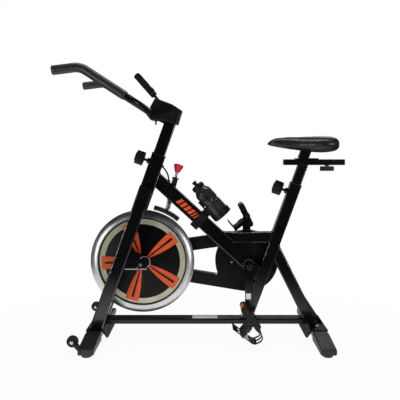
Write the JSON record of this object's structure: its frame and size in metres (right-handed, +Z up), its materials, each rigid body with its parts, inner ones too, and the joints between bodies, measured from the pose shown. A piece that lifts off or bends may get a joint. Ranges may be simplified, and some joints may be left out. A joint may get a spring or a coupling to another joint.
{
  "type": "exercise bike",
  "caption": "Indoor cycling bike: belt-driven flywheel in a leaning fork, crank with toe-cage pedals, sliding seat and handlebar posts, push brake, bottle and console.",
  "frame": {"origin": "centre of the bike's bounding box, on the floor", "axes": "+X to the rear of the bike, +Y to the drive side, +Z up"},
  "size_m": [1.0214, 0.485, 0.9943],
  "materials": {
    "frame_paint": "gloss black enamel",
    "black_plastic": "fine moulded grain",
    "guard_plastic": "satin moulded",
    "rubber": "matte",
    "grip_foam": "closed-cell foam",
    "saddle_cover": "grained synthetic leather",
    "zinc": "zinc plated",
    "flywheel_black": "black enamel",
    "orange": "satin lacquer",
    "cream": "satin lacquer",
    "red": "gloss",
    "belt_rubber": "ribbed rubber",
    "pad_felt": "felt",
    "bottle_plastic": "smoked translucent look",
    "console_plastic": "satin"
  },
  "bodies": {
    "frame": {"base_rail": "frame_paint", "stabiliser_brackets": "frame_paint", "front_stabiliser": "frame_paint", "rear_stabiliser": "frame_paint", "stabiliser_caps": "black_plastic", "stabiliser_bolts": "zinc", "fork_legs": "frame_paint", "fork_crown": "frame_paint", "head_tube": "frame_paint", "down_tube": "frame_paint", "seat_tube": "frame_paint", "top_tube": "frame_paint", "rear_strut": "frame_paint", "frame_gussets": "frame_paint", "dropouts": "frame_paint", "axle_fasteners": "zinc", "flywheel_axle": "zinc", "bottom_bracket": "frame_paint", "crank_bearings": "zinc", "post_bushes": "black_plastic", "guard_inner": "guard_plastic", "guard_outer": "guard_plastic", "brake_guide": "frame_paint", "sensor_cable": "rubber", "bottle_cage": "black_plastic", "wheel_brackets": "frame_paint", "drive_belt": "belt_rubber"},
    "flywheel": {"flywheel": "flywheel_black", "flywheel_rings": "cream", "flywheel_petals": "orange", "flywheel_bearings": "zinc", "flywheel_pulley": "black_plastic"},
    "crank": {"crank_spindle": "zinc", "crank_pulley": "black_plastic", "crank_near": "frame_paint", "crank_far": "frame_paint", "crank_fasteners": "frame_paint"},
    "pedal_near": {"pedal_near": "black_plastic", "toe_cage_near": "black_plastic"},
    "pedal_far": {"pedal_far": "black_plastic", "toe_cage_far": "black_plastic"},
    "handlebar": {"handlebar_post": "frame_paint", "handlebar": "frame_paint", "handlebar_grips": "grip_foam", "handlebar_cover": "black_plastic", "console": "console_plastic"},
    "console_button": {"console_button": "console_plastic"},
    "seat_post": {"seat_post": "frame_paint"},
    "saddle": {"seat_slider": "frame_paint", "saddle": "saddle_cover"},
    "head_knob": {"head_knob": "black_plastic"},
    "seat_knob": {"seat_knob": "black_plastic"},
    "rail_knob": {"rail_knob": "black_plastic"},
    "brake": {"brake_rod": "zinc", "brake_pad": "pad_felt", "brake_spring": "zinc"},
    "brake_knob": {"brake_knob": "red"},
    "transport_wheel_near": {"transport_wheel_near": "rubber"},
    "transport_wheel_far": {"transport_wheel_far": "rubber"},
    "bottle": {"bottle": "bottle_plastic"}
  },
  "joints": [
    {"name": "flywheel_spin", "type": "hinge", "parent": "frame", "child": "flywheel", "pos_m": [-0.2465, 0, 0.288], "axis": [0, 1, 0], "continuous": true},
    {"name": "crank_spin", "type": "hinge", "parent": "frame", "child": "crank", "pos_m": [0.154, 0, 0.284], "axis": [0, 1, 0], "continuous": true},
    {"name": "pedal_near_spin", "type": "hinge", "parent": "crank", "child": "pedal_near", "pos_m": [0.154, -0.1285, 0.116], "axis": [0, 1, 0], "continuous": true},
    {"name": "pedal_far_spin", "type": "hinge", "parent": "crank", "child": "pedal_far", "pos_m": [0.154, 0.1285, 0.452], "axis": [0, 1, 0], "continuous": true},
    {"name": "handlebar_height", "type": "slide", "parent": "frame", "child": "handlebar", "axis": [0.342, 0, 0.9397], "range_m": [-0.06, 0.03]},
    {"name": "console_button_press", "type": "slide", "parent": "handlebar", "child": "console_button", "axis": [-0.749, 0, -0.6626], "range_m": [0, 0.001], "stiffness_N_per_m": 800, "springref_m": -0.0005},
    {"name": "seat_height", "type": "slide", "parent": "frame", "child": "seat_post", "axis": [0.3338, 0, 0.9426], "range_m": [-0.05, 0.08]},
    {"name": "saddle_slide", "type": "slide", "parent": "seat_post", "child": "saddle", "axis": [1, 0, 0], "range_m": [-0.03, 0.025]},
    {"name": "rail_knob_turn", "type": "hinge", "parent": "seat_post", "child": "rail_knob", "pos_m": [0.448, 0, 0.64], "axis": [0, 0, 1], "range_deg": [-180, 180]},
    {"name": "head_knob_pull", "type": "slide", "parent": "frame", "child": "head_knob", "axis": [-0.9397, 0, 0.342], "range_m": [0, 0.01], "stiffness_N_per_m": 900, "springref_m": -0.004},
    {"name": "seat_knob_pull", "type": "slide", "parent": "frame", "child": "seat_knob", "axis": [-0.9426, 0, 0.3338], "range_m": [0, 0.01], "stiffness_N_per_m": 900, "springref_m": -0.004},
    {"name": "brake_press", "type": "slide", "parent": "frame", "child": "brake", "axis": [-0.2588, 0, -0.9659], "range_m": [0, 0.005], "stiffness_N_per_m": 2500, "springref_m": -0.004},
    {"name": "brake_knob_turn", "type": "hinge", "parent": "brake", "child": "brake_knob", "pos_m": [-0.1098, 0, 0.641], "axis": [0.2588, 0, 0.9659], "range_deg": [-360, 360]},
    {"name": "transport_wheel_near_spin", "type": "hinge", "parent": "frame", "child": "transport_wheel_near", "pos_m": [-0.469, -0.205, 0.049], "axis": [0, 1, 0], "continuous": true},
    {"name": "transport_wheel_far_spin", "type": "hinge", "parent": "frame", "child": "transport_wheel_far", "pos_m": [-0.469, 0.205, 0.049], "axis": [0, 1, 0], "continuous": true},
    {"name": "bottle_lift", "type": "slide", "parent": "frame", "child": "bottle", "axis": [-0.6691, 0, 0.7431], "range_m": [0, 0.04]}
  ],
  "couplings": [
    {"joint": "crank_spin", "follows": "flywheel_spin", "ratio": 0.31}
  ]
}
